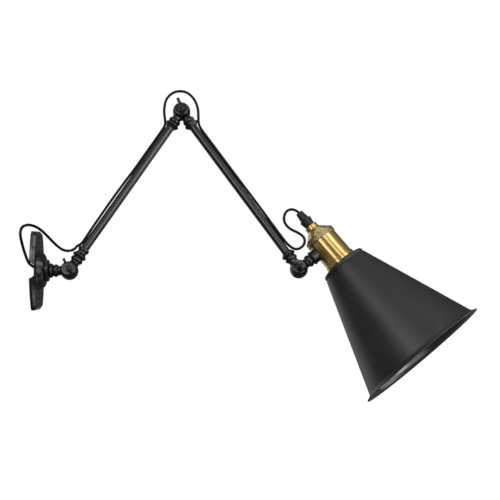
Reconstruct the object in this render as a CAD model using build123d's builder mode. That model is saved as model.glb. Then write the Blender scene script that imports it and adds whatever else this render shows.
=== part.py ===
# Adjustable wall lamp: cast wall plate, swivel stem, two tube arms on clamped knuckles,
# side-carried brass lampholder and a conical shade, with one thin cable along the outside.
# Millimetres and degrees. X leaves the wall, Z is up, the thumbscrews face towards -Y.
import os
from math import cos, pi, radians, sin, sqrt, tan

from build123d import *

os.makedirs("parts", exist_ok=True)

# Pose: lean of the arms about the wall's normal, the slope of each link in the arm plane,
# and the turn of the lampholder on its side stem
swivel_lean = 18.0
lower_arm_slope = 57.8
upper_arm_slope = -55.0
head_slope = 39.2
lamp_turn = 1.8
lower_wing_slope = -64.0
elbow_wing_slope = -64.0
head_wing_slope = -46.0

# Pivot to pivot
lower_arm_length = 256.4
upper_arm_length = 262.3

# Wall plate
plate_height = 98.0
plate_end_width = 50.0
plate_middle_width = 78.0
plate_thickness = 6.2
plate_wall = 2.0
plate_corner_radius = 9.0
plate_bevel_width = 3.7
plate_bevel_height = 2.9
boss_radius = 27.0
boss_top_radius = 19.0
boss_height = 7.8
boss_wall = 3.0
boss_top_round = 5.0
boss_root_round = 3.0
boss_root_width = 6.0
wall_screw_spacing = 76.0
wall_screw_radius = 2.5
wall_screw_head_radius = 4.6
wall_screw_pad_radius = 7.0
notch_radius = 10.4
notch_height = 7.4
notch_level = 1.2
notch_depth = 9.0

# Knuckles: two half barrels, clamped face to face by a thumbscrew
knuckle_radius = 11.4
knuckle_depth = 10.5
knuckle_face_radius = 8.5
knuckle_face_round = 1.8
knuckle_gap = 0.4
knuckle_floor = 2.0
friction_washer_thickness = 0.8
friction_washer_radius = 9.6

# Thumbscrews
screw_radius = 2.5
screw_clearance = 0.3
screw_thread_clearance = 0.06
screw_tip_gap = 0.6
screw_collar_radius = 4.6
screw_collar_thickness = 2.2
screw_stalk_radius = 3.1
wing_center = 22.0
wing_lobe_radius = 4.9
wing_lobe_spread = 10.4
wing_waist = 7.6
wing_waist_round = 1.6
wing_thickness = 3.2

# Turned outline shared by all fittings, measured from the pivot
neck_radius = 6.0
bead_center = 16.5
bead_length = 5.8
bead_radius = 8.0
bead_root_radius = 6.4
collar_center = 22.3
collar_rim = 0.8
collar_radius = 9.2

# Arm tubes and what the fittings add for them
tube_radius = 5.3
tube_wall = 0.95
tube_seat = 26.8
tube_seat_radius = 6.0
spigot_length = 12.0
spigot_clearance = 0.05
ferrule_center = 31.8
ferrule_length = 5.2
ferrule_radius = 7.3

# Swivel stem
stem_bead_center = 22.3
stem_bead_length = 4.6
stem_bead_radius = 9.1
stem_flange_start = 25.2
stem_flange_thickness = 4.1
stem_flange_radius = 13.8
stem_flange_chamfer = 0.9
stem_spigot_radius = 5.0
stem_running_clearance = 0.05
stem_end_gap = 1.0
stem_washer_radius = 9.5
stem_washer_thickness = 1.2
stem_nut_flats = 17.0
stem_nut_thickness = 5.0
thread_seat_clearance = 0.03

# Lampholder, heights above the shade's top
head_offset = 47.5
head_stem_height = 27.1
saddle_radius = 8.5
saddle_clearance = 0.02
nipple_radius = 4.0
nipple_clearance = 0.1
nipple_end_gap = 1.2
head_nut_flats = 12.0
head_nut_thickness = 3.5
shell_radius = 19.3
shell_wall = 1.6
shell_height = 37.6
shell_flange_radius = 20.5
shell_flange_height = 4.6
shell_flange_slope = 0.7
skirt_radius = 19.0
skirt_length = 14.0
skirt_lip_radius = 15.6
skirt_lip_thickness = 1.4
ring_radius = 20.6
ring_inner_radius = 16.0
ring_height = 7.5
ring_chamfer = 0.9
cap_radius = 18.2
cap_rim_height = 0.9
cap_wall = 1.5
cap_neck_radius = 8.5
cap_neck_height = 6.0
cap_cone_height = 9.1
cap_neck_round = 0.9
cap_screw_radius = 1.5
cap_screw_height = 2.8
cap_screw_turn = 38.0
cap_screw_proud = 0.5
cap_screw_slot_width = 0.6
cap_screw_slot_depth = 0.7
grip_radius = 7.9
grip_foot_radius = 6.4
grip_height = 11.2
grip_ridge_height = 1.6
grip_ridge_slope = 0.9
grip_nipple_radius = 5.0
grip_nipple_length = 8.0
grip_nut_radius = 6.0
grip_nut_top_radius = 4.6
grip_nut_height = 11.5
grip_nut_round = 0.8
grip_spigot_radius = 3.6
grip_spigot_length = 7.5
grip_bore_clearance = 0.02
insert_clearance = 0.3
insert_height = 20.0
insert_web = 8.0
insert_recess_depth = 5.5
insert_recess_radius = 12.4
screw_shell_radius = 14.0
screw_shell_wall = 0.45
screw_shell_length = 18.5
screw_shell_clearance = 0.04
contact_width = 6.0
contact_thickness = 0.5
contact_length = 16.0
contact_drop = 2.4
terminal_spread = 16.0
terminal_head_radius = 2.8
terminal_head_height = 2.2
terminal_shank_radius = 1.5
terminal_shank_length = 6.0
terminal_slot_width = 0.7
terminal_slot_depth = 1.0

# Shade
shade_thickness = 1.0
shade_seat_radius = 22.2
shade_seat_round = 2.0
shade_top_radius = 30.0
shade_top_drop = 2.0
shade_top_round = 2.4
shade_step_height = 5.0
shade_step_depth = 0.7
shade_step_length = 2.4
shade_step_round = 1.6
shade_groove_round = 0.5
shade_cone_length = 149.4
shade_cone_radius = 81.3
shade_lip_radius = 87.7
shade_lip_drop = 2.8
shade_lip_round = 4.5
shade_hole_clearance = 0.1
shade_ring_radius = 21.8
shade_ring_thickness = 5.0
shade_ring_clearance = 0.05

# Cable
cable_radius = 1.7
cable_bend_share = 0.45

# Places that follow from the sizes above
plate_front = plate_thickness + boss_height
stem_reach = stem_flange_start + stem_flange_thickness
washer_half = friction_washer_thickness / 2
neck_start = knuckle_radius / 2
bead_start = bead_center - bead_length / 2
bead_end = bead_center + bead_length / 2
ferrule_seat = ferrule_center + ferrule_length / 2
spigot_radius = tube_radius - tube_wall - spigot_clearance
shell_inner_radius = shell_radius - shell_wall
ring_top = shell_height + ring_height
cap_neck_base = ring_top + cap_rim_height + cap_cone_height
cap_top = cap_neck_base + cap_neck_height
grip_top = cap_top + grip_height
insert_bottom = skirt_lip_thickness - skirt_length
insert_floor = insert_height - insert_web
screw_shell_seat = insert_floor - insert_recess_depth
grip_bore_radius = cable_radius + grip_bore_clearance

# The arm plane stands on the lowest pivot: its x leaves the wall, its z looks at the viewer
arm_plane = Plane(
    origin=(plate_front + stem_reach, 0, 0),
    x_dir=(1, 0, 0),
    z_dir=(0, -cos(radians(swivel_lean)), sin(radians(swivel_lean))),
)


# Plane of one link: origin at its pivot, x along the link, z along the pivot's axis
def link_plane(pivot, slope):
    along = arm_plane.x_dir * cos(radians(slope)) + arm_plane.y_dir * sin(radians(slope))
    return Plane(origin=pivot, x_dir=along, z_dir=arm_plane.z_dir)


# Plane that holds a link's x and its pivot's axis, for outlines seen edge on
def edge_plane(link):
    return Plane(origin=link.origin, x_dir=link.x_dir, z_dir=-link.y_dir)


# Plane across a link at some distance from its pivot
def cross_plane(link, distance):
    return Plane(origin=link.origin + link.x_dir * distance, x_dir=link.y_dir, z_dir=link.x_dir)


lower_pivot = arm_plane.origin
lower_link = link_plane(lower_pivot, lower_arm_slope)
elbow_pivot = lower_pivot + lower_link.x_dir * lower_arm_length
upper_link = link_plane(elbow_pivot, upper_arm_slope)
head_pivot = elbow_pivot + upper_link.x_dir * upper_arm_length
head_link = link_plane(head_pivot, head_slope)

# Side plane: the head's link with the lampholder turned a little about the side stem
side_way = head_link.z_dir * cos(radians(lamp_turn)) - head_link.y_dir * sin(radians(lamp_turn))
side_link = Plane(origin=head_pivot, x_dir=head_link.x_dir, z_dir=side_way)

# Lamp plane: origin on the lamp's axis at the shade's top, x across the axis, y up along it
lamp_plane = Plane(
    origin=head_pivot + side_link.x_dir * head_offset - side_link.y_dir * head_stem_height,
    x_dir=side_link.x_dir,
    z_dir=side_link.z_dir,
)
lamp_axis = Axis(lamp_plane.origin, lamp_plane.y_dir)


# Plane across the lamp's axis at some height, facing up
def lamp_level(height):
    origin = lamp_plane.origin + lamp_plane.y_dir * height
    return Plane(origin=origin, x_dir=lamp_plane.x_dir, z_dir=lamp_plane.y_dir)


# Label a finished piece and write it
def save(piece, name):
    piece.label = name
    export_step(piece, f"parts/{name}.step")


# Half a knuckle with its turned neck: side is 1 for the half at the viewer, -1 for the far half
def knuckle_fitting(link, side, tail, rings=()):
    split = link.offset(side * washer_half)
    with BuildPart() as fitting:
        with BuildSketch(link):
            with BuildLine():
                Polyline(
                    (neck_start, 0),
                    (neck_start, neck_radius),
                    (bead_start, neck_radius),
                    (bead_start, bead_root_radius),
                )
                ThreePointArc(
                    (bead_start, bead_root_radius),
                    (bead_center, bead_radius),
                    (bead_end, bead_root_radius),
                )
                Polyline((bead_end, bead_root_radius), *tail, (neck_start, 0))
            make_face()
        revolve(axis=Axis(link.origin, link.x_dir))
        for center, length, top, root in rings:
            with BuildSketch(link):
                with BuildLine():
                    ThreePointArc((center - length / 2, root), (center, top), (center + length / 2, root))
                    Polyline(
                        (center + length / 2, root),
                        (center + length / 2, 0),
                        (center - length / 2, 0),
                        (center - length / 2, root),
                    )
                make_face()
            revolve(axis=Axis(link.origin, link.x_dir))
        # Room for the other half's barrel
        with BuildSketch(split):
            Circle(knuckle_radius + knuckle_gap)
        extrude(amount=-side * 2 * knuckle_depth, mode=Mode.SUBTRACT)
        # Domed half barrel with a flat face
        with BuildSketch(edge_plane(link)) as barrel:
            with BuildLine():
                Line((0, side * washer_half), (knuckle_radius, side * washer_half))
                TangentArc(
                    (knuckle_radius, side * washer_half),
                    (knuckle_face_radius, side * knuckle_depth),
                    tangent=(0, side),
                )
                Polyline(
                    (knuckle_face_radius, side * knuckle_depth),
                    (0, side * knuckle_depth),
                    (0, side * washer_half),
                )
            make_face()
            face_corner = barrel.vertices().sort_by_distance((knuckle_face_radius, side * knuckle_depth))[0]
            fillet(face_corner, knuckle_face_round)
        revolve(axis=Axis(link.origin, link.z_dir))
        # Screw bore: right through the near half, blind and threaded in the far half
        with BuildSketch(split):
            Circle(screw_radius + (screw_clearance if side > 0 else screw_thread_clearance))
        bore_depth = knuckle_depth if side > 0 else knuckle_depth - washer_half - knuckle_floor
        extrude(amount=side * bore_depth, mode=Mode.SUBTRACT)
    return fitting.part


# Outline beyond the bead of a fitting that ends in a tube
def tube_tail(seat):
    tail = [
        (collar_center - collar_rim / 2, collar_radius),
        (collar_center + collar_rim / 2, collar_radius),
        (tube_seat, tube_seat_radius),
    ]
    if seat > tube_seat:
        tail.append((seat, tube_seat_radius))
    tail.append((seat, spigot_radius))
    tail.append((seat + spigot_length, spigot_radius))
    tail.append((seat + spigot_length, 0))
    return tail


# Thumbscrew through a knuckle, with its flat two-lobed wing turned to a slope
def thumbscrew(pivot, slope):
    link = link_plane(pivot, slope)
    collar_top = knuckle_depth + screw_collar_thickness
    tip = washer_half + knuckle_floor + screw_tip_gap - knuckle_depth
    with BuildPart() as screw:
        with BuildSketch(edge_plane(link)):
            with BuildLine():
                Polyline(
                    (0, tip),
                    (screw_radius, tip),
                    (screw_radius, knuckle_depth),
                    (screw_collar_radius, knuckle_depth),
                    (screw_collar_radius, collar_top),
                    (screw_stalk_radius, collar_top),
                    (screw_stalk_radius, wing_center - wing_waist / 2),
                    (0, wing_center - wing_waist / 2),
                    close=True,
                )
            make_face()
        revolve(axis=Axis(link.origin, link.z_dir))
        with BuildSketch(edge_plane(link)) as wing:
            with Locations((-wing_lobe_spread / 2, wing_center), (wing_lobe_spread / 2, wing_center)):
                Circle(wing_lobe_radius)
            with Locations((0, wing_center)):
                Rectangle(wing_lobe_spread, wing_waist)
            waist = wing.vertices().sort_by(lambda corner: abs(corner.X))[:4]
            fillet(waist, wing_waist_round)
        extrude(amount=wing_thickness / 2, both=True)
    return screw.part


# Thin disc between the halves of a knuckle
def friction_washer(pivot):
    link = link_plane(pivot, 0)
    with BuildPart() as washer:
        with BuildSketch(link):
            Circle(friction_washer_radius)
            Circle(screw_radius + screw_clearance, mode=Mode.SUBTRACT)
        extrude(amount=washer_half, both=True)
    return washer.part


# Arm tube between two seats
def arm_tube(link, start, end):
    with BuildPart() as tube:
        with BuildSketch(cross_plane(link, start)):
            Circle(tube_radius)
            Circle(tube_radius - tube_wall, mode=Mode.SUBTRACT)
        extrude(amount=end - start)
    return tube.part


# Wall plate: hollow casting with bowed sides, a domed boss, a cable notch and two screw pads
def plate_outline():
    half_height = plate_height / 2
    half_end = plate_end_width / 2
    half_middle = plate_middle_width / 2
    with BuildSketch() as outline:
        with BuildLine():
            Line((-half_end, half_height), (half_end, half_height))
            ThreePointArc((half_end, half_height), (half_middle, 0), (half_end, -half_height))
            Line((half_end, -half_height), (-half_end, -half_height))
            ThreePointArc((-half_end, -half_height), (-half_middle, 0), (-half_end, half_height))
        make_face()
        fillet(outline.vertices(), plate_corner_radius)
    return outline.sketch


plate_axis = Axis((0, 0, 0), (1, 0, 0))
boss_root_radius = boss_radius + boss_root_width
screw_places = ((0, wall_screw_spacing / 2), (0, -wall_screw_spacing / 2))
with BuildPart() as wall_plate:
    with BuildSketch(Plane.YZ):
        add(plate_outline())
    extrude(amount=plate_thickness)
    plate_face = wall_plate.faces().sort_by(Axis.X)[-1]
    chamfer(plate_face.edges(), plate_bevel_width, plate_bevel_height, reference=plate_face)
    with BuildSketch(Plane.XY) as boss:
        with BuildLine():
            Polyline(
                (0, 0),
                (plate_front, 0),
                (plate_front, boss_top_radius),
                (plate_thickness, boss_radius),
                (plate_thickness, boss_root_radius),
                (0, boss_root_radius),
                close=True,
            )
        make_face()
        fillet(boss.vertices().sort_by_distance((plate_front, boss_top_radius))[0], boss_top_round)
        fillet(boss.vertices().sort_by_distance((plate_thickness, boss_radius))[0], boss_root_round)
    revolve(axis=plate_axis)
    with BuildSketch(Plane.YZ):
        add(plate_outline())
        offset(amount=-plate_wall - plate_bevel_width / 2, mode=Mode.REPLACE)
        with Locations(*screw_places):
            Circle(wall_screw_pad_radius, mode=Mode.SUBTRACT)
    extrude(amount=plate_thickness - plate_wall, mode=Mode.SUBTRACT)
    with BuildSketch(Plane.XY):
        with BuildLine():
            Polyline(
                (0, 0),
                (plate_front - boss_wall, 0),
                (plate_front - boss_wall, boss_top_radius - boss_wall),
                (plate_thickness - plate_wall, boss_radius - boss_wall),
                (0, boss_radius - boss_wall),
                close=True,
            )
        make_face()
    revolve(axis=plate_axis, mode=Mode.SUBTRACT)
    with BuildSketch(Plane.YZ):
        Circle(stem_spigot_radius + stem_running_clearance)
    extrude(amount=plate_front, mode=Mode.SUBTRACT)
    with BuildSketch(Plane.XZ.offset(plate_middle_width / 2)):
        with Locations((notch_height - notch_radius, notch_level)):
            Circle(notch_radius)
    extrude(amount=-notch_depth, mode=Mode.SUBTRACT)
    with Locations(Plane.YZ.offset(plate_thickness)):
        with Locations(*screw_places):
            CounterSinkHole(wall_screw_radius, wall_screw_head_radius, depth=plate_thickness)
save(wall_plate.part, "wall_plate")

# Swivel stem: runs in the boss and carries the near half of the lowest knuckle
base_link = link_plane(lower_pivot, 180)
flange_end = stem_reach
stem_end = stem_reach + plate_front - stem_end_gap
stem_tail = (
    (stem_flange_start, bead_root_radius),
    (stem_flange_start, stem_flange_radius - stem_flange_chamfer),
    (stem_flange_start + stem_flange_chamfer, stem_flange_radius),
    (flange_end, stem_flange_radius),
    (flange_end, stem_spigot_radius),
    (stem_end, stem_spigot_radius),
    (stem_end, 0),
)
stem_bead = (stem_bead_center, stem_bead_length, stem_bead_radius, bead_root_radius)
with BuildPart() as base_stem:
    add(knuckle_fitting(base_link, 1, stem_tail, [stem_bead]))
save(base_stem.part, "base_stem")

# Washer and nut that hold the stem, under the boss
boss_ceiling = plate_front - boss_wall
with BuildPart() as stem_washer:
    with BuildSketch(Plane.YZ.offset(boss_ceiling)):
        Circle(stem_washer_radius)
        Circle(stem_spigot_radius + thread_seat_clearance, mode=Mode.SUBTRACT)
    extrude(amount=-stem_washer_thickness)
save(stem_washer.part, "stem_washer")

with BuildPart() as stem_nut:
    with BuildSketch(Plane.YZ.offset(boss_ceiling - stem_washer_thickness)):
        RegularPolygon(stem_nut_flats / 2, 6, major_radius=False)
        Circle(stem_spigot_radius + thread_seat_clearance, mode=Mode.SUBTRACT)
    extrude(amount=-stem_nut_thickness)
save(stem_nut.part, "stem_nut")

# Lower arm: foot fitting with one more bead, tube and elbow fitting
ferrule_bead = (ferrule_center, ferrule_length, ferrule_radius, tube_seat_radius)
lower_head_link = link_plane(elbow_pivot, lower_arm_slope + 180)
with BuildPart() as lower_arm_foot:
    add(knuckle_fitting(lower_link, -1, tube_tail(ferrule_seat), [ferrule_bead]))
save(lower_arm_foot.part, "lower_arm_foot")

with BuildPart() as lower_tube:
    add(arm_tube(lower_link, ferrule_seat, lower_arm_length - tube_seat))
save(lower_tube.part, "lower_tube")

with BuildPart() as lower_arm_head:
    add(knuckle_fitting(lower_head_link, 1, tube_tail(tube_seat)))
save(lower_arm_head.part, "lower_arm_head")

# Upper arm: elbow fitting, tube and head fitting
upper_end_link = link_plane(head_pivot, upper_arm_slope + 180)
with BuildPart() as upper_arm_top:
    add(knuckle_fitting(upper_link, -1, tube_tail(tube_seat)))
save(upper_arm_top.part, "upper_arm_top")

with BuildPart() as upper_tube:
    add(arm_tube(upper_link, tube_seat, upper_arm_length - tube_seat))
save(upper_tube.part, "upper_tube")

with BuildPart() as upper_arm_end:
    add(knuckle_fitting(upper_end_link, 1, tube_tail(tube_seat)))
save(upper_arm_end.part, "upper_arm_end")

# Thumbscrews and friction washers of the three knuckles
knuckles = (
    ("lower", lower_pivot, lower_wing_slope),
    ("elbow", elbow_pivot, elbow_wing_slope),
    ("head", head_pivot, head_wing_slope),
)
for knuckle, pivot, wing_slope in knuckles:
    save(thumbscrew(pivot, wing_slope), f"{knuckle}_thumbscrew")
    save(friction_washer(pivot), f"{knuckle}_friction_washer")

# Head stem: far half of the last knuckle, ending in a saddle and a nipple in the shell's side
nut_corner = head_nut_flats / sqrt(3)
head_nut_seat = head_offset - sqrt(shell_inner_radius**2 - nut_corner**2)
nipple_end = head_nut_seat + head_nut_thickness + nipple_end_gap
saddle_end = head_offset - sqrt(shell_radius**2 - saddle_radius**2) + shell_wall
saddle_tail = (
    (collar_center - collar_rim / 2, collar_radius),
    (collar_center + collar_rim / 2, collar_radius),
    (collar_center + collar_rim, saddle_radius),
    (saddle_end, saddle_radius),
    (saddle_end, 0),
)
with BuildPart() as head_stem:
    add(knuckle_fitting(head_link, -1, saddle_tail))
    with BuildSketch(lamp_level(0)):
        Circle(shell_radius + saddle_clearance)
    extrude(amount=shell_height, mode=Mode.SUBTRACT)
    with BuildSketch(cross_plane(head_link, collar_center)):
        Circle(nipple_radius)
    extrude(amount=nipple_end - collar_center)
save(head_stem.part, "head_stem")

with BuildPart() as head_stem_nut:
    with BuildSketch(cross_plane(side_link, head_nut_seat)):
        RegularPolygon(nut_corner, 6, rotation=30)
        Circle(nipple_radius + thread_seat_clearance, mode=Mode.SUBTRACT)
    extrude(amount=head_nut_thickness)
save(head_stem_nut.part, "head_stem_nut")

# Brass shell: seat flange on the shade, threaded skirt with an inner lip below it
with BuildPart() as holder_shell:
    with BuildSketch(lamp_plane):
        with BuildLine():
            Polyline(
                (skirt_lip_radius, -skirt_length),
                (skirt_radius, -skirt_length),
                (skirt_radius, 0),
                (shell_flange_radius, 0),
                (shell_flange_radius, shell_flange_height),
                (shell_radius, shell_flange_height + shell_flange_slope),
                (shell_radius, shell_height),
                (shell_inner_radius, shell_height),
                (shell_inner_radius, insert_bottom),
                (skirt_lip_radius, insert_bottom),
                close=True,
            )
        make_face()
    revolve(axis=lamp_axis)
    with BuildSketch(cross_plane(head_link, collar_center)):
        Circle(nipple_radius + nipple_clearance)
    extrude(amount=head_offset - collar_center, mode=Mode.SUBTRACT)
save(holder_shell.part, "holder_shell")

# Ring that joins the shell and the cap
with BuildPart() as knurled_ring:
    with BuildSketch(lamp_plane):
        with BuildLine():
            Polyline(
                (ring_inner_radius, shell_height),
                (ring_radius - ring_chamfer, shell_height),
                (ring_radius, shell_height + ring_chamfer),
                (ring_radius, ring_top - ring_chamfer),
                (ring_radius - ring_chamfer, ring_top),
                (ring_inner_radius, ring_top),
                close=True,
            )
        make_face()
    revolve(axis=lamp_axis)
save(knurled_ring.part, "knurled_ring")

# Conical cap with a neck for the cord grip and a grub screw through the neck
screw_level = cap_neck_base + cap_screw_height
screw_way = lamp_plane.x_dir * sin(radians(cap_screw_turn)) + lamp_plane.z_dir * cos(radians(cap_screw_turn))
cap_screw_plane = Plane(
    origin=lamp_plane.origin + lamp_plane.y_dir * screw_level,
    x_dir=lamp_plane.y_dir,
    z_dir=screw_way,
)
cap_bore_radius = grip_nipple_radius + thread_seat_clearance
with BuildPart() as holder_cap:
    with BuildSketch(lamp_plane) as cap_outline:
        with BuildLine():
            Polyline(
                (cap_radius, ring_top),
                (cap_radius, ring_top + cap_rim_height),
                (cap_neck_radius, cap_neck_base),
                (cap_neck_radius, cap_top),
                (cap_bore_radius, cap_top),
                (cap_bore_radius, cap_neck_base),
                (cap_neck_radius - cap_wall, cap_neck_base - cap_wall),
                (cap_radius - cap_wall, ring_top),
                close=True,
            )
        make_face()
        fillet(cap_outline.vertices().sort_by_distance((cap_neck_radius, cap_top))[0], cap_neck_round)
    revolve(axis=lamp_axis)
    with BuildSketch(cap_screw_plane.offset(grip_nipple_radius)):
        Circle(cap_screw_radius + thread_seat_clearance)
    extrude(amount=cap_neck_radius, mode=Mode.SUBTRACT)
save(holder_cap.part, "holder_cap")

with BuildPart() as cap_screw:
    with BuildSketch(cap_screw_plane.offset(grip_nipple_radius + thread_seat_clearance)):
        Circle(cap_screw_radius)
    extrude(amount=cap_neck_radius + cap_screw_proud - grip_nipple_radius)
    with BuildSketch(cap_screw_plane.offset(cap_neck_radius + cap_screw_proud + thread_seat_clearance)):
        Rectangle(cap_screw_slot_width, 2 * cap_screw_radius + 1)
    extrude(amount=-cap_screw_slot_depth, mode=Mode.SUBTRACT)
save(cap_screw.part, "cap_screw")

# Cord grip: flared body with a nipple in the cap, and a tapered nut over its spigot
ridge_base = grip_top - grip_ridge_height
with BuildPart() as cord_grip_body:
    with BuildSketch(lamp_plane):
        with BuildLine():
            Polyline(
                (grip_bore_radius, cap_top - grip_nipple_length),
                (grip_nipple_radius, cap_top - grip_nipple_length),
                (grip_nipple_radius, cap_top),
                (grip_foot_radius, cap_top),
                (grip_radius, ridge_base),
                (grip_radius, grip_top - grip_ridge_slope),
                (grip_nut_radius, grip_top),
                (grip_spigot_radius, grip_top),
                (grip_spigot_radius, grip_top + grip_spigot_length),
                (grip_bore_radius, grip_top + grip_spigot_length),
                close=True,
            )
        make_face()
    revolve(axis=lamp_axis)
save(cord_grip_body.part, "cord_grip_body")

nut_top = grip_top + grip_nut_height
nut_hollow_radius = grip_spigot_radius + thread_seat_clearance
with BuildPart() as cord_grip_nut:
    with BuildSketch(lamp_plane) as nut_outline:
        with BuildLine():
            Polyline(
                (nut_hollow_radius, grip_top),
                (grip_nut_radius, grip_top),
                (grip_nut_top_radius, nut_top),
                (grip_bore_radius, nut_top),
                (grip_bore_radius, grip_top + grip_spigot_length),
                (nut_hollow_radius, grip_top + grip_spigot_length),
                close=True,
            )
        make_face()
        fillet(nut_outline.vertices().sort_by_distance((grip_nut_top_radius, nut_top))[0], grip_nut_round)
    revolve(axis=lamp_axis)
save(cord_grip_nut.part, "cord_grip_nut")

# Socket insert: ceramic cup on the skirt's lip, stepped for the screw shell, with holes for the
# terminal screws in its web
insert_bore_radius = screw_shell_radius + screw_shell_clearance
terminal_places = ((0, terminal_spread / 2), (0, -terminal_spread / 2))
with BuildPart() as socket_insert:
    with BuildSketch(lamp_level(insert_bottom)):
        Circle(shell_inner_radius - insert_clearance)
    extrude(amount=insert_height - insert_bottom)
    with BuildSketch(lamp_level(insert_bottom)):
        Circle(insert_bore_radius)
    extrude(amount=screw_shell_seat - insert_bottom, mode=Mode.SUBTRACT)
    with BuildSketch(lamp_level(screw_shell_seat)):
        Circle(insert_recess_radius)
    extrude(amount=insert_recess_depth, mode=Mode.SUBTRACT)
    with BuildSketch(lamp_level(insert_height)):
        with Locations(*terminal_places):
            Circle(terminal_shank_radius + thread_seat_clearance)
    extrude(amount=-insert_web, mode=Mode.SUBTRACT)
save(socket_insert.part, "socket_insert")

# Screw shell: brass sleeve that takes the bulb's cap
with BuildPart() as screw_shell:
    with BuildSketch(lamp_level(screw_shell_seat)):
        Circle(screw_shell_radius)
        Circle(screw_shell_radius - screw_shell_wall, mode=Mode.SUBTRACT)
    extrude(amount=-screw_shell_length)
save(screw_shell.part, "screw_shell")

# Centre contact: leaf that bends down from the insert's web
contact_start = -contact_length / 2
with BuildPart() as centre_contact:
    with BuildSketch(lamp_plane):
        with BuildLine():
            Polyline(
                (contact_start, insert_floor),
                (contact_start + contact_length / 3, insert_floor),
                (contact_start + contact_length, insert_floor - contact_drop),
                (contact_start + contact_length, insert_floor - contact_drop - contact_thickness),
                (contact_start + contact_length / 3, insert_floor - contact_thickness),
                (contact_start, insert_floor - contact_thickness),
                close=True,
            )
        make_face()
    extrude(amount=contact_width / 2, both=True)
save(centre_contact.part, "centre_contact")

# Terminal screws on the insert
with BuildPart() as terminal_screws:
    with BuildSketch(lamp_level(insert_height)):
        with Locations(*terminal_places):
            Circle(terminal_head_radius)
    extrude(amount=terminal_head_height)
    with BuildSketch(lamp_level(insert_height)):
        with Locations(*terminal_places):
            Circle(terminal_shank_radius)
    extrude(amount=-terminal_shank_length)
    with BuildSketch(lamp_level(insert_height + terminal_head_height)):
        with Locations(*terminal_places):
            Rectangle(2 * terminal_head_radius + 1, terminal_slot_width)
    extrude(amount=-terminal_slot_depth, mode=Mode.SUBTRACT)
save(terminal_screws.part, "terminal_screws")

# A run of points moved to the right of its direction by a wall's thickness
def inset(points, amount):
    corners = [Vector(*point) for point in points]
    ways = [(end - start).normalized() for start, end in zip(corners, corners[1:])]
    sides = [Vector(way.Y, -way.X) for way in ways]
    moved = []
    for corner, before, after in zip(corners, [sides[0]] + sides, sides + [sides[-1]]):
        moved.append(corner + (before + after) * (amount / (1 + before.dot(after))))
    return moved


# Shade: spun cone with a sloping top, a stepped shoulder and a flared lip
shade_hole_radius = skirt_radius + shade_hole_clearance
shade_step_end = shade_step_height + shade_step_length
shade_outside = [
    (shade_hole_radius, 0),
    (shade_seat_radius, 0),
    (shade_top_radius, -shade_top_drop),
    (shade_top_radius, -shade_step_height),
    (shade_top_radius - shade_step_depth, -shade_step_height - shade_step_length / 2),
    (shade_top_radius + shade_step_depth, -shade_step_end),
    (shade_cone_radius, -shade_cone_length),
    (shade_lip_radius, -shade_cone_length - shade_lip_drop),
]
outside_rounds = [
    shade_seat_round,
    shade_top_round,
    shade_step_round,
    shade_groove_round,
    shade_step_round,
    shade_lip_round,
]
inside_rounds = [
    shade_seat_round - shade_thickness,
    shade_top_round - shade_thickness,
    shade_step_round - shade_thickness,
    shade_groove_round + shade_thickness,
    shade_step_round - shade_thickness,
    shade_lip_round + shade_thickness,
]
with BuildPart() as shade:
    with BuildSketch(lamp_plane):
        with BuildLine():
            outside = FilletPolyline(*shade_outside, radius=outside_rounds)
            inside = FilletPolyline(*inset(shade_outside, shade_thickness), radius=inside_rounds)
            Line(outside @ 0, inside @ 0)
            Line(outside @ 1, inside @ 1)
        make_face()
    revolve(axis=lamp_axis)
save(shade.part, "shade")

# Threaded ring that clamps the shade against the shell from inside
with BuildPart() as shade_ring:
    with BuildSketch(lamp_level(-shade_thickness)):
        Circle(shade_ring_radius)
        Circle(skirt_radius + shade_ring_clearance, mode=Mode.SUBTRACT)
    extrude(amount=-shade_ring_thickness)
save(shade_ring.part, "shade_ring")


# Bend radii of a cable's route: as large as the shorter run beside each corner allows
def bend_radii(points):
    runs = [end - start for start, end in zip(points, points[1:])]
    radii = []
    for before, after in zip(runs, runs[1:]):
        shorter = min(before.length, after.length)
        radii.append(cable_bend_share * shorter / tan(radians(before.get_angle(after)) / 2))
    return radii


# Cable tube along a route
def cable(name, points):
    radii = bend_radii(points)
    with BuildPart() as tube:
        with BuildLine():
            route = FilletPolyline(*points, radius=radii)
        with BuildSketch(Plane(origin=route @ 0, z_dir=route % 0)):
            Circle(cable_radius)
        sweep()
    length = route.length
    fill = tube.part.volume / (pi * cable_radius**2 * length)
    print(name, "length", round(length, 1), "volume share", round(fill, 4))
    print(name, "bend radii", [round(radius, 1) for radius in radii])
    return tube.part


# A point given in the arm plane: out from the lowest pivot, up, and towards the viewer
def arm_point(out, up, forward):
    return arm_plane.from_local_coords(Vector(out, up, forward))


# A point beside a link: along it from its pivot, off its axis, and towards the viewer
def beside(link, along, off, forward):
    return link.from_local_coords(Vector(along, off, forward))


# From inside the plate, out of the notch, along the wall and round towards the lowest knuckle
base_points = [
    Vector(2.1, -15, 4.3),
    Vector(2.1, -31, 6.6),
    Vector(2.2, -50, 9.4),
    Vector(2.1, -67.5, 17.2),
    Vector(2.0, -85.5, 27.6),
    Vector(2.0, -97, 36.6),
    Vector(2.0, -102.8, 41.4),
    Vector(2.1, -104, 47.4),
    Vector(3.1, -100.1, 52.4),
    Vector(4.3, -88.3, 54.7),
    Vector(6.6, -71.5, 56.0),
    Vector(12.4, -57, 53.8),
]

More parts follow.
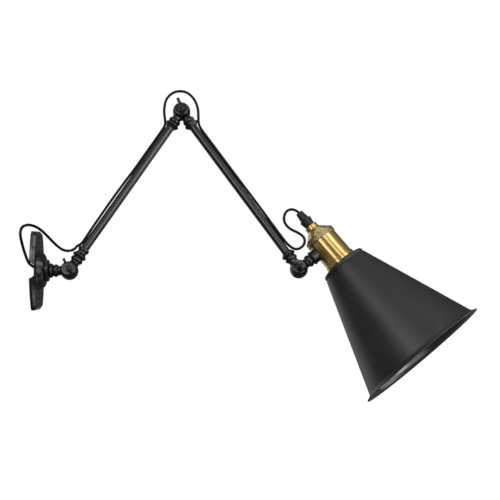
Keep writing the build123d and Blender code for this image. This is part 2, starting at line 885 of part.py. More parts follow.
# Over the lowest knuckle and up the wall side of the lower arm
lower_points = [
    Vector(18.6, -45.6, 48.0),
    Vector(25.6, -33, 38.6),
    Vector(31.8, -21.4, 30.6),
    Vector(37.4, -12.4, 25.6),
    Vector(43.2, -4.9, 24.4),
    Vector(49.4, 1.6, 26.4),
    beside(lower_link, 33, 9.4, 3.4),
    beside(lower_link, 46, 9.2, 1.6),
    beside(lower_link, 75, 9.0, 1.0),
    beside(lower_link, 115, 9.0, 0.8),
    beside(lower_link, 150, 8.3, 0.8),
    beside(lower_link, 176, 7.3, 1.4),
    beside(lower_link, 195, 7.1, 2.0),
]

# Round the elbow and down the upper arm
upper_points = [
    beside(lower_link, 209, 7.1, 2.3),
    arm_point(110.9, 190.6, 2.3),
    arm_point(113.9, 202.2, 2.2),
    arm_point(113.4, 216.7, 2.0),
    arm_point(115.5, 233.2, 2.0),
    arm_point(123.2, 242.7, 2.0),
    arm_point(133.8, 246.2, 2.0),
    arm_point(144.9, 243.3, 2.0),
    arm_point(153.5, 233.7, 2.0),
    arm_point(158.1, 221.5, 2.0),
    arm_point(158.8, 209.1, 2.0),
    arm_point(161.3, 196.2, 2.0),
    beside(upper_link, 46, 7.4, 1.8),
    beside(upper_link, 85, 7.7, 1.4),
    beside(upper_link, 125, 8.1, 1.0),
    beside(upper_link, 165, 9.0, 1.2),
    beside(upper_link, 195, 8.6, 1.8),
    beside(upper_link, 212, 8.2, 2.3),
]

# From the upper arm's end, back over itself and into the cord grip
grip_mouth = lamp_plane.origin + lamp_plane.y_dir * nut_top
head_points = [
    beside(upper_link, 222, 7.9, 3.1),
    arm_point(275.2, 31.1, 4.3),
    arm_point(282.3, 25.7, 6.2),
    arm_point(289.9, 27.3, 7.0),
    arm_point(294.9, 33.6, 7.6),
    arm_point(294.2, 41.6, 7.0),
    arm_point(287.2, 47.8, 6.0),
    arm_point(278.5, 52.2, 4.6),
    arm_point(272.0, 57.9, 3.7),
    arm_point(268.5, 65.8, 2.9),
    arm_point(270.0, 75.4, 2.3),
    arm_point(275.6, 81.0, 2.0),
    grip_mouth + lamp_plane.y_dir * 5.0,
    grip_mouth - lamp_plane.y_dir * 2.0,
]

# The cable is cut half way along the legs between these stretches
base_cut = (base_points[-1] + lower_points[0]) / 2
elbow_cut = (lower_points[-1] + upper_points[0]) / 2
head_cut = (upper_points[-1] + head_points[0]) / 2
save(cable("cable_base_loop", base_points + [base_cut]), "cable_base_loop")
save(cable("cable_lower_run", [base_cut] + lower_points + [elbow_cut]), "cable_lower_run")
save(cable("cable_upper_run", [elbow_cut] + upper_points + [head_cut]), "cable_upper_run")
save(cable("cable_head_loop", [head_cut] + head_points), "cable_head_loop")
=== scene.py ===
from math import cos, pi, radians, sin

import bmesh
import bpy
from mathutils import Matrix, Vector


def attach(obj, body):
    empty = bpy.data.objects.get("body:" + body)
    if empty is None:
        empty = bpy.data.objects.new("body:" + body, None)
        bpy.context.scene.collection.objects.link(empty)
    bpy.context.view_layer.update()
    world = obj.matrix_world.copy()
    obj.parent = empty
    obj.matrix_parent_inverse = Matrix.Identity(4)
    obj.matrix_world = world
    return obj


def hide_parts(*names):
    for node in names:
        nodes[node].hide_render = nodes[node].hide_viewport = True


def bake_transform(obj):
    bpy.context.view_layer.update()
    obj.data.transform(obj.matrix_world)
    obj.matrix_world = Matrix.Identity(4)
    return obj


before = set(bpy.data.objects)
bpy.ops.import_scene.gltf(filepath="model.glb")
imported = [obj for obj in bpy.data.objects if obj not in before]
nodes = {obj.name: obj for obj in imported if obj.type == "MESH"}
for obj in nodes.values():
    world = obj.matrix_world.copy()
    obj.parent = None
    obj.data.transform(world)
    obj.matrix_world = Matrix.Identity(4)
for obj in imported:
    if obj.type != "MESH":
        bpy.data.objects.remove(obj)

scene = bpy.context.scene
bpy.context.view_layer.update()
print("frame loaded,", len(nodes), "nodes")

# the camera stands level and looks straight along the wall
cameraView = {"place": (0.2693, -1.5, 0.0258), "lens": 86.4, "sensor": 36.0, "farClip": 50.0}

cameraData = bpy.data.cameras.new("camera")
cameraData.lens = cameraView["lens"]
cameraData.sensor_width = cameraView["sensor"]
cameraData.clip_end = cameraView["farClip"]
camera = bpy.data.objects.new("camera", cameraData)
camera.location = cameraView["place"]
camera.rotation_euler = (radians(90), 0, 0)
scene.collection.objects.link(camera)
scene.camera = camera
scene.view_settings.view_transform = "Standard"
print("camera set")

# how the lamp stands: lean of the arms, slope and length of each link, metres
pose = {
    "lean": radians(18.0),
    "pivot": Vector((0.0433, 0, 0)),
    "lowerSlope": radians(57.8),
    "upperSlope": radians(-55.0),
    "headSlope": radians(39.2),
    "lowerLength": 0.2564,
    "upperLength": 0.2623,
    "headOffset": 0.0475,
    "headDrop": 0.0271,
    "lampTurn": radians(1.8),
}

outward = Vector((1, 0, 0))
upward = Vector((0, sin(pose["lean"]), cos(pose["lean"])))
toViewer = outward.cross(upward)


# direction in the arm plane
def slopeDir(angle):
    return outward * cos(angle) + upward * sin(angle)


lowerDir = slopeDir(pose["lowerSlope"])
upperDir = slopeDir(pose["upperSlope"])
headDir = slopeDir(pose["headSlope"])
elbow = pose["pivot"] + lowerDir * pose["lowerLength"]
headPivot = elbow + upperDir * pose["upperLength"]
headUp = slopeDir(pose["headSlope"] + pi / 2)
lampUp = headUp * cos(pose["lampTurn"]) + toViewer * sin(pose["lampTurn"])
lampSide = toViewer * cos(pose["lampTurn"]) - headUp * sin(pose["lampTurn"])
lampTop = headPivot + headDir * pose["headOffset"] - lampUp * pose["headDrop"]

# the cable's points are typed in millimetres
perMetre = 1000


# from the plate's centre on the wall: out, across, up
def wallPoint(out, across, up):
    return Vector((out, across, up)) / perMetre


# in the arm plane: out, up, towards the viewer
def armPoint(out, up, forward):
    return pose["pivot"] + (outward * out + upward * up + toViewer * forward) / perMetre


# beside an arm: along it, off its axis, towards the viewer
def besideLower(along, off, forward):
    side = slopeDir(pose["lowerSlope"] + pi / 2)
    return pose["pivot"] + (lowerDir * along + side * off + toViewer * forward) / perMetre


def besideUpper(along, off, forward):
    side = slopeDir(pose["upperSlope"] + pi / 2)
    return elbow + (upperDir * along + side * off + toViewer * forward) / perMetre


# mouth of the cord grip above the lamp's top, and the cable's straight ends outside and inside it
grip = {"mouth": 0.0838, "outside": 0.005, "inside": 0.002}
gripMouth = lampTop + lampUp * grip["mouth"]

# out of the plate's notch and round the hairpin
cableBase = [
    wallPoint(2.1, -15, 4.3),
    wallPoint(2.1, -31, 6.6),
    wallPoint(2.2, -50, 9.4),
    wallPoint(2.1, -67.5, 17.2),
    wallPoint(2.0, -85.5, 27.6),
    wallPoint(2.0, -97, 36.6),
    wallPoint(2.0, -102.8, 41.4),
    wallPoint(2.1, -104, 47.4),
    wallPoint(3.1, -100.1, 52.4),
    wallPoint(4.3, -88.3, 54.7),
    wallPoint(6.6, -71.5, 56.0),
    wallPoint(12.4, -57, 53.8),
]
# past the lowest knuckle and up the lower tube
cableLower = [
    wallPoint(18.6, -45.6, 48.0),
    wallPoint(25.6, -33, 38.6),
    wallPoint(31.8, -21.4, 30.6),
    wallPoint(37.4, -12.4, 25.6),
    wallPoint(43.2, -4.9, 24.4),
    wallPoint(49.4, 1.6, 26.4),
    besideLower(31.5, 9.3, 3.0),
    besideLower(37.5, 7.1, -0.6),
    besideLower(48, 7.35, -0.2),
    besideLower(75, 7.95, 0),
    besideLower(110, 8.2, 0),
    besideLower(140, 7.6, 0),
    besideLower(158, 7.12, -0.4),
    besideLower(176, 7.15, -0.5),
    besideLower(195, 7.14, -0.4),
]
# over the elbow
cableElbow = [
    besideLower(209, 7.15, -0.5),
    besideLower(225.5, 7.3, -1.2),
    besideLower(233, 9.7, -3.8),
    armPoint(113.4, 216.7, 0),
    armPoint(115.5, 233.2, 2.0),
    armPoint(123.2, 242.7, 2.0),
    armPoint(133.8, 246.2, 2.0),
    armPoint(144.9, 243.3, 2.0),
    armPoint(153.5, 233.7, 2.0),
    armPoint(158.1, 221.5, 2.0),
    armPoint(158.8, 209.8, 0.6),
    besideUpper(24.3, 9.7, -3.4),
    besideUpper(32, 7.4, -1.2),
    besideUpper(46, 7.15, -0.5),
]
# straight down the upper tube
cableUpper = [
    besideUpper(85, 7.2, -0.4),
    besideUpper(125, 7.22, -0.5),
    besideUpper(165, 7.45, -0.2),
    besideUpper(195, 7.18, -0.5),
    besideUpper(212, 7.1, -0.4),
]
# round the last knuckle and into the cord grip
cableHead = [
    besideUpper(223, 7.03, 0.2),
    armPoint(275.2, 31.1, 4.3),
    armPoint(282.3, 25.7, 6.2),
    armPoint(289.9, 27.3, 7.0),
    armPoint(294.9, 33.6, 7.6),
    armPoint(294.2, 41.6, 7.0),
    armPoint(287.2, 47.8, 6.0),
    armPoint(278.5, 52.2, 4.6),
    armPoint(272.0, 57.9, 3.7),
    armPoint(268.5, 65.8, 2.9),
    armPoint(270.0, 75.4, 2.3),
    armPoint(275.6, 81.0, 2.0),
    gripMouth + lampUp * grip["outside"],
    gripMouth - lampUp * grip["inside"],
]
baseCut = (cableBase[-1] + cableLower[0]) / 2
elbowCut = (cableLower[-1] + cableElbow[0]) / 2
tubeCut = (cableElbow[-1] + cableUpper[0]) / 2
headCut = (cableUpper[-1] + cableHead[0]) / 2

# one thin cable in stretches: the one on the upper arm rides with it, the others are listed with
# the two bodies of the joint they cross and stay where they are laid
cable = {"diameter": 0.0034, "sides": 5, "smooth": 12, "order": 3}
stretches = [
    {
        "name": "cableBaseLoop", "node": "cable_base_loop", "length": 0.1608,
        "points": cableBase + [baseCut], "bodies": ("base", "swivel"),
        "start": wallPoint(2, -60, 12), "end": wallPoint(2, -60, 50),
    },
    {
        "name": "cableLowerRun", "node": "cable_lower_run", "length": 0.2477,
        "points": [baseCut] + cableLower + [elbowCut], "bodies": ("swivel", "lower_arm"),
        "start": wallPoint(16, 0, 20), "end": wallPoint(58, 0, 20),
    },
    {
        "name": "cableElbowLoop", "node": "cable_upper_run", "length": 0.1801,
        "points": [elbowCut] + cableElbow + [tubeCut], "bodies": ("lower_arm", "upper_arm"),
        "start": armPoint(114, 230, 2), "end": armPoint(160, 230, 2),
    },
    {
        "name": "cableUpperRun", "node": "cable_upper_run", "length": 0.1520,
        "points": [tubeCut] + cableUpper + [headCut], "body": "upper_arm",
    },
    {
        "name": "cableHeadLoop", "node": "cable_head_loop", "length": 0.1156,
        "points": [headCut] + cableHead, "bodies": ("upper_arm", "head"),
        "start": armPoint(280, 43, 3), "end": armPoint(280, 76, 3),
    },
]


def cableSpline(name, points):
    data = bpy.data.curves.new(name, "CURVE")
    data.dimensions = "3D"
    data.resolution_u = cable["smooth"]
    spline = data.splines.new("NURBS")
    spline.points.add(len(points) - 1)
    for spot, point in zip(spline.points, points):
        spot.co = (*point, 1)
    spline.order_u = cable["order"]
    spline.use_endpoint_u = True
    return bpy.data.objects.new(name, data)


cablePieces = []
for stretch in stretches:
    line = cableSpline(stretch["name"] + "Line", stretch["points"])
    bare = bpy.data.meshes.new_from_object(line)
    line.data.bevel_depth = cable["diameter"] / 2
    line.data.bevel_resolution = cable["sides"]
    line.data.use_fill_caps = True
    tubeMesh = bpy.data.meshes.new_from_object(line)
    tubeMesh.name = stretch["name"]
    tubeMesh.shade_smooth()
    piece = bpy.data.objects.new(stretch["name"], tubeMesh)
    scene.collection.objects.link(piece)
    bpy.data.objects.remove(line)
    bpy.data.meshes.remove(bare)
    if "body" in stretch:
        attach(piece, stretch["body"])
    else:
        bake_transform(piece)
    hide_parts(stretch["node"])
    cablePieces.append(piece)
print("cable laid in", len(cablePieces), "stretches")

# ring that joins shell and cap, with straight knurling between plain bevelled rims
knurlRing = {
    "bottom": 0.0376, "height": 0.0075, "radius": 0.0206, "inner": 0.016,
    "teeth": 84, "depth": 0.00016, "toothShape": (0.0, 0.35, 1.0, 0.35), "sharpFrom": radians(38),
    "bevel": 0.0009, "bow": (0.5, 0.42), "rim": 0.0004, "rimDrop": 0.00005, "runOut": 1.6,
}


def ringMesh(ring):
    mesh = bpy.data.meshes.new("knurledRing")
    bm = bmesh.new()
    outer, bevel, rimTop = ring["radius"], ring["bevel"], ring["bevel"] + ring["rim"]
    bowUp, bowIn = ring["bow"]
    rim = outer - ring["rimDrop"]
    # height, radius and share of the tooth depth, from the inner foot to where the teeth are full
    rows = [
        (0, ring["inner"], 0),
        (0, outer - bevel, 0),
        (bevel * bowUp, outer - bevel * bowIn, 0),
        (bevel, rim, 0),
        (rimTop, rim, 0),
        (bevel + ring["rim"] * ring["runOut"], outer, 1),
    ]
    upper = [(ring["height"] - level, radius, share) for level, radius, share in reversed(rows)]
    rows += [(ring["height"] / 2, outer, 1)] + upper
    toothShape = ring["toothShape"]
    count = ring["teeth"] * len(toothShape)
    loops = []
    for level, radius, share in rows:
        loop = []
        centre = lampTop + lampUp * (ring["bottom"] + level)
        for i in range(count):
            angle = 2 * pi * i / count
            cut = ring["depth"] * share * toothShape[i % len(toothShape)]
            spot = headDir * cos(angle) + lampSide * sin(angle)
            loop.append(bm.verts.new(centre + spot * (radius - cut)))
        loops.append(loop)
    for first, second in zip(loops, loops[1:] + loops[:1]):
        for i in range(count):
            j = (i + 1) % count
            bm.faces.new((first[i], first[j], second[j], second[i]))
    bmesh.ops.recalc_face_normals(bm, faces=bm.faces)
    bm.to_mesh(mesh)
    bm.free()
    mesh.shade_smooth()
    mesh.set_sharp_from_angle(angle=ring["sharpFrom"])
    return mesh


ring = bpy.data.objects.new("knurledRing", ringMesh(knurlRing))
scene.collection.objects.link(ring)
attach(ring, "head")
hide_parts("knurled_ring")
print("ring knurled with", knurlRing["teeth"], "teeth")


# small helpers for the finishes
def startFinish(name):
    material = bpy.data.materials.new(name)
    material.use_nodes = True
    tree = material.node_tree
    return material, tree, tree.nodes["Principled BSDF"]


def addNode(tree, kind, **settings):
    node = tree.nodes.new(kind)
    for key, value in settings.items():
        setattr(node, key, value)
    return node


def partCoords(tree):
    return addNode(tree, "ShaderNodeTexCoord").outputs["Object"]


def grain(tree, coords, scale, detail=3.0, rough=0.55):
    noise = addNode(tree, "ShaderNodeTexNoise")
    noise.inputs["Scale"].default_value = scale
    noise.inputs["Detail"].default_value = detail
    noise.inputs["Roughness"].default_value = rough
    tree.links.new(coords, noise.inputs["Vector"])
    return noise.outputs["Fac"]


def toneRamp(tree, source, stops):
    ramp = addNode(tree, "ShaderNodeValToRGB")
    elements = ramp.color_ramp.elements
    while len(elements) < len(stops):
        elements.new(0.5)
    for element, (place, colour) in zip(elements, stops):
        element.position = place
        element.color = (*colour, 1)
    tree.links.new(source, ramp.inputs["Fac"])
    return ramp.outputs["Color"]


def spread(tree, source, low, high, fromLow=0.3, fromHigh=0.7):
    change = addNode(tree, "ShaderNodeMapRange")
    change.inputs["From Min"].default_value = fromLow
    change.inputs["From Max"].default_value = fromHigh
    change.inputs["To Min"].default_value = low
    change.inputs["To Max"].default_value = high
    tree.links.new(source, change.inputs["Value"])
    return change.outputs["Result"]


# each input is another node's output or a plain value
def feed(node, values):
    for socket, value in zip(node.inputs, values):
        if isinstance(value, bpy.types.NodeSocket):
            node.id_data.links.new(value, socket)
        else:
            socket.default_value = value


def calc(tree, operation, *values):
    node = addNode(tree, "ShaderNodeMath", operation=operation)
    feed(node, values)
    return node.outputs["Value"]


def vectorCalc(tree, operation, *values):
    node = addNode(tree, "ShaderNodeVectorMath", operation=operation)
    feed(node, values)
    return node.outputs["Value" if operation == "DOT_PRODUCT" else "Vector"]


def addBump(tree, shader, source, depth, strength):
    bump = addNode(tree, "ShaderNodeBump")
    bump.inputs["Strength"].default_value = strength
    bump.inputs["Distance"].default_value = depth
    tree.links.new(source, bump.inputs["Height"])
    tree.links.new(bump.outputs["Normal"], shader.inputs["Normal"])
    return bump


# sprayed black: fine orange peel, cloudy gloss and a faint warm tone where it is thin
spray = {
    "cloudDetail": 4.0, "peelDetail": 2.0, "peelRough": 0.5, "deepAt": 0.32, "thinAt": 0.72,
    "edgeSamples": 6,
}


def sprayedBlack(look):
    material, tree, shader = startFinish(look["name"])
    coords = partCoords(tree)
    cloud = grain(tree, coords, look["cloudScale"], spray["cloudDetail"])
    peel = grain(tree, coords, look["peelScale"], spray["peelDetail"], spray["peelRough"])
    stops = [(spray["deepAt"], look["deep"]), (spray["thinAt"], look["thin"])]
    tree.links.new(toneRamp(tree, cloud, stops), shader.inputs["Base Color"])
    gloss = spread(tree, cloud, look["glossLow"], look["glossHigh"])
    tree.links.new(gloss, shader.inputs["Roughness"])
    shader.inputs["Specular IOR Level"].default_value = look["specular"]
    bump = addBump(tree, shader, peel, look["peelDepth"], look["peelStrength"])
    if "edge" in look:  # paint rounds the sharp edges a little
        softEdge = addNode(tree, "ShaderNodeBevel", samples=spray["edgeSamples"])
        softEdge.inputs["Radius"].default_value = look["edge"]
        tree.links.new(softEdge.outputs["Normal"], bump.inputs["Normal"])
    return material


armBlack = {
    "name": "armBlack", "deep": (0.0022, 0.0022, 0.0024), "thin": (0.0050, 0.0049, 0.0048),
    "cloudScale": 130.0, "glossLow": 0.22, "glossHigh": 0.30, "specular": 0.8,
    "peelScale": 1500.0, "peelDepth": 0.00006, "peelStrength": 0.35,
}
castBlack = dict(
    armBlack, name="castBlack", glossLow=0.18, glossHigh=0.26, specular=0.9, edge=0.0008,
)
plateBlack = dict(
    armBlack, name="plateBlack", glossLow=0.18, glossHigh=0.24, specular=1.0, edge=0.0010,
)
shadeBlack = {
    "name": "shadeBlack", "deep": (0.0072, 0.0071, 0.0068), "thin": (0.0102, 0.0100, 0.0094),
    "cloudScale": 38.0, "glossLow": 0.38, "glossHigh": 0.44, "specular": 0.8,
    "peelScale": 1300.0, "peelDepth": 0.00005, "peelStrength": 0.25,
    "insideGloss": 0.22, "insideCoat": 1.85, "insideCoatGloss": 0.27,
}


# faces that look at the lamp's own axis are the shade's inside, which is glossier
def glossInside(material, look):
    tree = material.node_tree
    shader = tree.nodes["Principled BSDF"]
    coords = addNode(tree, "ShaderNodeTexCoord")
    normal = coords.outputs["Normal"]
    offset = vectorCalc(tree, "SUBTRACT", coords.outputs["Object"], lampTop)
    along = vectorCalc(tree, "DOT_PRODUCT", offset, lampUp)
    rising = vectorCalc(tree, "DOT_PRODUCT", normal, lampUp)
    facing = vectorCalc(tree, "DOT_PRODUCT", normal, offset)
    awayFromAxis = calc(tree, "SUBTRACT", facing, calc(tree, "MULTIPLY", rising, along))
    inside = calc(tree, "LESS_THAN", awayFromAxis, 0)
    outside = calc(tree, "SUBTRACT", 1, inside)
    sprayGloss = shader.inputs["Roughness"].links[0].from_socket
    outerGloss = calc(tree, "MULTIPLY", sprayGloss, outside)
    innerGloss = calc(tree, "MULTIPLY", inside, look["insideGloss"])
    tree.links.new(calc(tree, "ADD", outerGloss, innerGloss), shader.inputs["Roughness"])
    tree.links.new(inside, shader.inputs["Coat Weight"])
    shader.inputs["Coat IOR"].default_value = look["insideCoat"]
    shader.inputs["Coat Roughness"].default_value = look["insideCoatGloss"]
    return material


# coordinates round and along the lamp's own axis, for brass turned and brushed on it
def lampCoords(tree, stretch):
    mapping = addNode(tree, "ShaderNodeMapping", vector_type="TEXTURE")
    mapping.inputs["Location"].default_value = lampTop
    basis = Matrix((headDir, lampUp.cross(headDir), lampUp)).transposed()
    mapping.inputs["Rotation"].default_value = basis.to_euler()
    tree.links.new(partCoords(tree), mapping.inputs["Vector"])
    split = addNode(tree, "ShaderNodeSeparateXYZ")
    tree.links.new(mapping.outputs["Vector"], split.inputs["Vector"])
    angle = calc(tree, "ARCTAN2", split.outputs["Y"], split.outputs["X"])
    join = addNode(tree, "ShaderNodeCombineXYZ")
    along = calc(tree, "MULTIPLY", split.outputs["Z"], stretch)
    feed(join, (calc(tree, "SINE", angle), calc(tree, "COSINE", angle), along))
    return join.outputs["Vector"]


# old brass: brushed along the axis, browned in streaks and blotches, some of it lacquered
brass = {
    "streakStretch": 6.0, "streakDetail": 3.0, "blotchDetail": 4.0, "blotchRough": 0.6,
    "brownAt": 0.30, "midAt": 0.50, "cleanAt": 0.66,
    "brushStretch": 4.0, "brushDetail": 2.0, "lacquerGloss": 0.12,
}


def oldBrass(look):
    material, tree, shader = startFinish(look["name"])
    shader.inputs["Metallic"].default_value = look.get("metal", 1.0)
    streakCoords = lampCoords(tree, brass["streakStretch"])
    streak = grain(tree, streakCoords, look["streakScale"], brass["streakDetail"])
    blotch = grain(tree, partCoords(tree), look["blotchScale"],
                   brass["blotchDetail"], brass["blotchRough"])
    mixed = calc(tree, "ADD", calc(tree, "MULTIPLY", streak, look["streakShare"]),
                 calc(tree, "MULTIPLY", blotch, 1 - look["streakShare"]))
    stops = [(brass[tone + "At"], look[tone]) for tone in ("brown", "mid", "clean")]
    tree.links.new(toneRamp(tree, mixed, stops), shader.inputs["Base Color"])
    tree.links.new(spread(tree, mixed, look["dull"], look["shine"]), shader.inputs["Roughness"])
    brushCoords = lampCoords(tree, brass["brushStretch"])
    fine = grain(tree, brushCoords, look["brushScale"], brass["brushDetail"])
    addBump(tree, shader, fine, look["brushDepth"], look["brushStrength"])
    shader.inputs["Coat Weight"].default_value = look.get("lacquer", 0.0)
    shader.inputs["Coat IOR"].default_value = look.get("lacquerIndex", 1.5)
    shader.inputs["Coat Roughness"].default_value = brass["lacquerGloss"]
    return material


agedBrass = {
    "name": "agedBrass", "brown": (0.54, 0.30, 0.06), "mid": (0.73, 0.47, 0.12),
    "clean": (0.84, 0.61, 0.21), "streakScale": 5.0, "streakShare": 0.7, "blotchScale": 60.0,
    "dull": 0.22, "shine": 0.15, "lacquer": 0.9, "lacquerIndex": 1.8, "metal": 0.94,
    "brushScale": 60.0, "brushDepth": 0.00001, "brushStrength": 0.01,
}
dullBrass = {
    "name": "dullBrass", "brown": (0.34, 0.25, 0.14), "mid": (0.52, 0.41, 0.25),
    "clean": (0.66, 0.56, 0.38), "streakScale": 4.0, "streakShare": 0.35, "blotchScale": 90.0,
    "dull": 0.46, "shine": 0.36,
    "brushScale": 60.0, "brushDepth": 0.00003, "brushStrength": 0.2,
}
brightBrass = {
    "name": "brightBrass", "brown": (0.70, 0.47, 0.17), "mid": (0.80, 0.57, 0.23),
    "clean": (0.88, 0.67, 0.30), "streakScale": 5.0, "streakShare": 0.5, "blotchScale": 200.0,
    "dull": 0.30, "shine": 0.20,
    "brushScale": 60.0, "brushDepth": 0.00002, "brushStrength": 0.2,
}


# plain moulded or turned stuff with a cloud of two tones and a fine surface
plain = {"deepAt": 0.35, "lightAt": 0.68, "fineDetail": 2.0, "fineStrength": 0.3}


def plainFinish(look):
    material, tree, shader = startFinish(look["name"])
    coords = partCoords(tree)
    cloud = grain(tree, coords, look["cloudScale"])
    stops = [(plain["deepAt"], look["deep"]), (plain["lightAt"], look["light"])]
    tree.links.new(toneRamp(tree, cloud, stops), shader.inputs["Base Color"])
    gloss = spread(tree, cloud, look["glossLow"], look["glossHigh"])
    tree.links.new(gloss, shader.inputs["Roughness"])
    shader.inputs["Metallic"].default_value = look.get("metal", 0.0)
    shader.inputs["Specular IOR Level"].default_value = look.get("specular", 0.5)
    fine = grain(tree, coords, look["fineScale"], plain["fineDetail"])
    addBump(tree, shader, fine, look["fineDepth"], plain["fineStrength"])
    return material


gripPlastic = {
    "name": "gripPlastic", "deep": (0.0060, 0.0060, 0.0062), "light": (0.0105, 0.0105, 0.0105),
    "cloudScale": 260.0, "glossLow": 0.42, "glossHigh": 0.55,
    "fineScale": 1800.0, "fineDepth": 0.00006,
}
cableSheath = {
    "name": "cableSheath", "deep": (0.0018, 0.0018, 0.0019), "light": (0.0036, 0.0036, 0.0036),
    "cloudScale": 300.0, "glossLow": 0.42, "glossHigh": 0.52, "specular": 0.22,
    "fineScale": 2600.0, "fineDepth": 0.00003,
}
insertWhite = {
    "name": "insertWhite", "deep": (0.70, 0.68, 0.62), "light": (0.80, 0.79, 0.74),
    "cloudScale": 150.0, "glossLow": 0.20, "glossHigh": 0.30,
    "fineScale": 900.0, "fineDepth": 0.00003,
}
fibreBrown = {
    "name": "fibreBrown", "deep": (0.10, 0.045, 0.022), "light": (0.16, 0.075, 0.036),
    "cloudScale": 400.0, "glossLow": 0.6, "glossHigh": 0.75,
    "fineScale": 2500.0, "fineDepth": 0.00008,
}
zincSteel = {
    "name": "zincSteel", "deep": (0.50, 0.50, 0.51), "light": (0.64, 0.64, 0.63),
    "cloudScale": 300.0, "glossLow": 0.28, "glossHigh": 0.42,
    "fineScale": 2000.0, "fineDepth": 0.00003, "metal": 1.0,
}

finishes = {
    "armBlack": sprayedBlack(armBlack),
    "castBlack": sprayedBlack(castBlack),
    "plateBlack": sprayedBlack(plateBlack),
    "shadeBlack": glossInside(sprayedBlack(shadeBlack), shadeBlack),
    "agedBrass": oldBrass(agedBrass),
    "dullBrass": oldBrass(dullBrass),
    "brightBrass": oldBrass(brightBrass),
    "gripPlastic": plainFinish(gripPlastic),
    "cableSheath": plainFinish(cableSheath),
    "insertWhite": plainFinish(insertWhite),
    "fibreBrown": plainFinish(fibreBrown),
    "zincSteel": plainFinish(zincSteel),
}
finishOf = {
    "armBlack": ["lower_tube", "upper_tube"],
    "castBlack": [
        "base_stem", "lower_thumbscrew", "lower_arm_foot", "lower_arm_head", "elbow_thumbscrew",
        "upper_arm_top", "upper_arm_end", "head_thumbscrew", "head_stem",
    ],
    "plateBlack": ["wall_plate"],
    "shadeBlack": ["shade"],
    "agedBrass": ["holder_shell", "holder_cap"],
    "dullBrass": ["knurled_ring"],
    "brightBrass": ["screw_shell", "centre_contact", "terminal_screws"],
    "gripPlastic": ["cord_grip_body", "cord_grip_nut", "shade_ring"],
    "cableSheath": ["cable_base_loop", "cable_lower_run", "cable_upper_run", "cable_head_loop"],
    "insertWhite": ["socket_insert"],
    "fibreBrown": ["lower_friction_washer", "elbow_friction_washer", "head_friction_washer"],
    "zincSteel": ["stem_washer", "stem_nut", "head_stem_nut", "cap_screw"],
}
for finish, names in finishOf.items():
    for name in names:
        nodes[name].data.materials.clear()
        nodes[name].data.materials.append(finishes[finish])
for piece in cablePieces:
    piece.data.materials.append(finishes["cableSheath"])
ring.data.materials.append(finishes["dullBrass"])
print("finishes on", sum(len(names) for names in finishOf.values()), "nodes")

# studio: white surround, a pale floor well below the lamp, soft boxes and a dome for reflections
studio = {
    "centre": Vector((0.27, 0, 0.05)), "white": (1, 1, 1, 1), "surround": 1.0, "fill": 0.35,
    "floorLevel": -0.9, "floorSize": 5.0, "floorTone": 0.62, "floorRough": 0.8, "floorGlow": 0.42,
    "domeRadius": 2.4, "domeTone": 0.08, "domeSegments": 64, "domeRings": 32,
}

world = bpy.data.worlds.new("studioSurround")
scene.world = world
world.use_nodes = True
worldTree = world.node_tree
fillLight = worldTree.nodes["Background"]
fillLight.inputs["Color"].default_value = studio["white"]
fillLight.inputs["Strength"].default_value = studio["fill"]
whiteBack = addNode(worldTree, "ShaderNodeBackground")
whiteBack.inputs["Color"].default_value = studio["white"]
whiteBack.inputs["Strength"].default_value = studio["surround"]
rays = addNode(worldTree, "ShaderNodeLightPath").outputs
seen = calc(worldTree, "MAXIMUM", rays["Is Camera Ray"], rays["Is Glossy Ray"])
worldMix = addNode(worldTree, "ShaderNodeMixShader")
worldTree.links.new(seen, worldMix.inputs["Fac"])
worldTree.links.new(fillLight.outputs["Background"], worldMix.inputs[1])
worldTree.links.new(whiteBack.outputs["Background"], worldMix.inputs[2])
worldTree.links.new(worldMix.outputs["Shader"], worldTree.nodes["World Output"].inputs["Surface"])

floorMesh = bpy.data.meshes.new("studioFloor")
half = studio["floorSize"] / 2
middle = studio["centre"].x
corners = [
    (middle + x * half, y * half, studio["floorLevel"])
    for x, y in ((-1, -1), (1, -1), (1, 1), (-1, 1))
]
floorMesh.from_pydata(corners, [], [(0, 1, 2, 3)])
floor = bpy.data.objects.new("studioFloor", floorMesh)
scene.collection.objects.link(floor)
floorFinish, floorTree, floorShader = startFinish("floorPale")
floorShader.inputs["Base Color"].default_value = (*[studio["floorTone"]] * 3, 1)
floorShader.inputs["Roughness"].default_value = studio["floorRough"]
floorShader.inputs["Emission Color"].default_value = studio["white"]
cameraRay = addNode(floorTree, "ShaderNodeLightPath").outputs["Is Camera Ray"]
floorGlow = calc(floorTree, "MULTIPLY", cameraRay, studio["floorGlow"])
floorTree.links.new(floorGlow, floorShader.inputs["Emission Strength"])
floorMesh.materials.append(floorFinish)
floor.visible_glossy = False

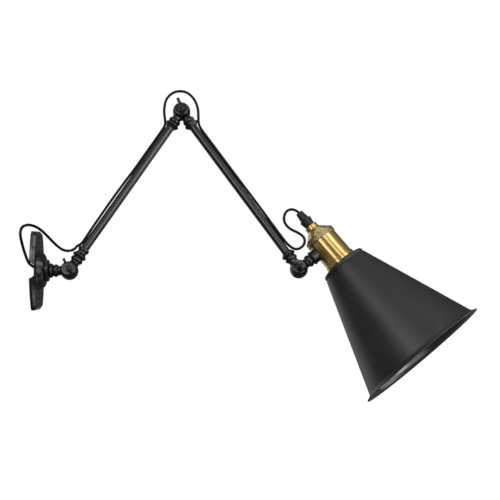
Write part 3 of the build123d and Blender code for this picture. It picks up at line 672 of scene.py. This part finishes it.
# dark dome, seen only in reflections, with soft glows for lights and white walls:
# the way to each, the angles at which it is full and gone, and its level
glows = {
    "overhead": {"way": (0.12, -0.02, 0.99), "full": 30, "none": 55, "level": 0.28},
    "leftTop": {"way": (-0.52, -0.52, 0.68), "full": 8, "none": 30, "level": 0.60},
    "leftBox": {"way": (-0.44, -0.80, 0.40), "full": 8, "none": 16, "level": 3.3},
    "leftStrip": {"way": (-0.46, -0.87, 0.12), "full": 5, "none": 11, "level": 2.0},
    "rightStrip": {"way": (0.48, -0.82, 0.26), "full": 7, "none": 16, "level": 3.4},
    "rightEnd": {"way": (0.74, -0.66, 0.10), "full": 7, "none": 16, "level": 3.2},
    "frontTop": {"way": (0.14, -0.80, 0.57), "full": 5, "none": 12, "level": 1.6},
    "rightTop": {"way": (0.48, -0.44, 0.75), "full": 8, "none": 17, "level": 1.9},
    "backTop": {"way": (-0.36, 0.52, 0.77), "full": 12, "none": 26, "level": 0.55},
    "leftWall": {"way": (-0.60, 0.79, -0.08), "full": 14, "none": 38, "level": 0.60},
    "rightWall": {"way": (0.93, 0.18, 0.33), "full": 9, "none": 20, "level": 2.0},
    "rightLow": {"way": (0.93, 0.18, -0.33), "full": 7, "none": 16, "level": 1.2},
    "leftLow": {"way": (-0.82, -0.35, -0.45), "full": 18, "none": 34, "level": 0.17},
    "rightSide": {"way": (0.94, -0.24, -0.02), "full": 8, "none": 18, "level": 1.3},
    "lowRight": {"way": (0.55, -0.72, -0.42), "full": 10, "none": 24, "level": 1.0},
}


def domeGlow(tree):
    outwards = vectorCalc(tree, "NORMALIZE", partCoords(tree))
    total = studio["domeTone"]
    for glow in glows.values():
        nearness = vectorCalc(tree, "DOT_PRODUCT", outwards, Vector(glow["way"]).normalized())
        gone, full = cos(radians(glow["none"])), cos(radians(glow["full"]))
        fade = spread(tree, nearness, 0.0, glow["level"], gone, full)
        fade.node.interpolation_type = "SMOOTHSTEP"
        total = calc(tree, "MAXIMUM", fade, total)
    return total


domeMesh = bpy.data.meshes.new("studioDome")
bm = bmesh.new()
bmesh.ops.create_uvsphere(bm, u_segments=studio["domeSegments"], v_segments=studio["domeRings"],
                          radius=studio["domeRadius"])
bm.to_mesh(domeMesh)
bm.free()
dome = bpy.data.objects.new("studioDome", domeMesh)
dome.location = studio["centre"]
scene.collection.objects.link(dome)
domeFinish, domeTree, domeShader = startFinish("domeGlow")
domeShader.inputs["Base Color"].default_value = (0, 0, 0, 1)
domeShader.inputs["Specular IOR Level"].default_value = 0.0
domeShader.inputs["Emission Color"].default_value = studio["white"]
domeTree.links.new(domeGlow(domeTree), domeShader.inputs["Emission Strength"])
domeMesh.materials.append(domeFinish)
dome.visible_camera = False
dome.visible_diffuse = False
dome.visible_shadow = False

# soft boxes light the paint, and their shine comes from the dome
softBoxes = {
    "topBox": {
        "way": (0.28, -0.56, 0.78), "reach": 1.5, "size": (1.0, 0.7), "along": (1, 0.2, 0),
        "power": 22.0,
    },
    "leftBox": {
        "way": (-0.42, -0.70, 0.58), "reach": 1.6, "size": (1.0, 0.6), "along": (1, -0.2, 0),
        "power": 10.0,
    },
}
for name, box in softBoxes.items():
    light = bpy.data.lights.new(name, "AREA")
    light.shape = "RECTANGLE"
    light.size, light.size_y = box["size"]
    light.energy = box["power"]
    lamp = bpy.data.objects.new(name, light)
    away = Vector(box["way"]).normalized()
    along = Vector(box["along"])
    along = (along - away * along.dot(away)).normalized()
    turn = Matrix((along, away.cross(along), away)).transposed()
    lamp.matrix_world = Matrix.Translation(studio["centre"] + away * box["reach"]) @ turn.to_4x4()
    lamp.visible_glossy = False
    scene.collection.objects.link(lamp)
print("studio lit")
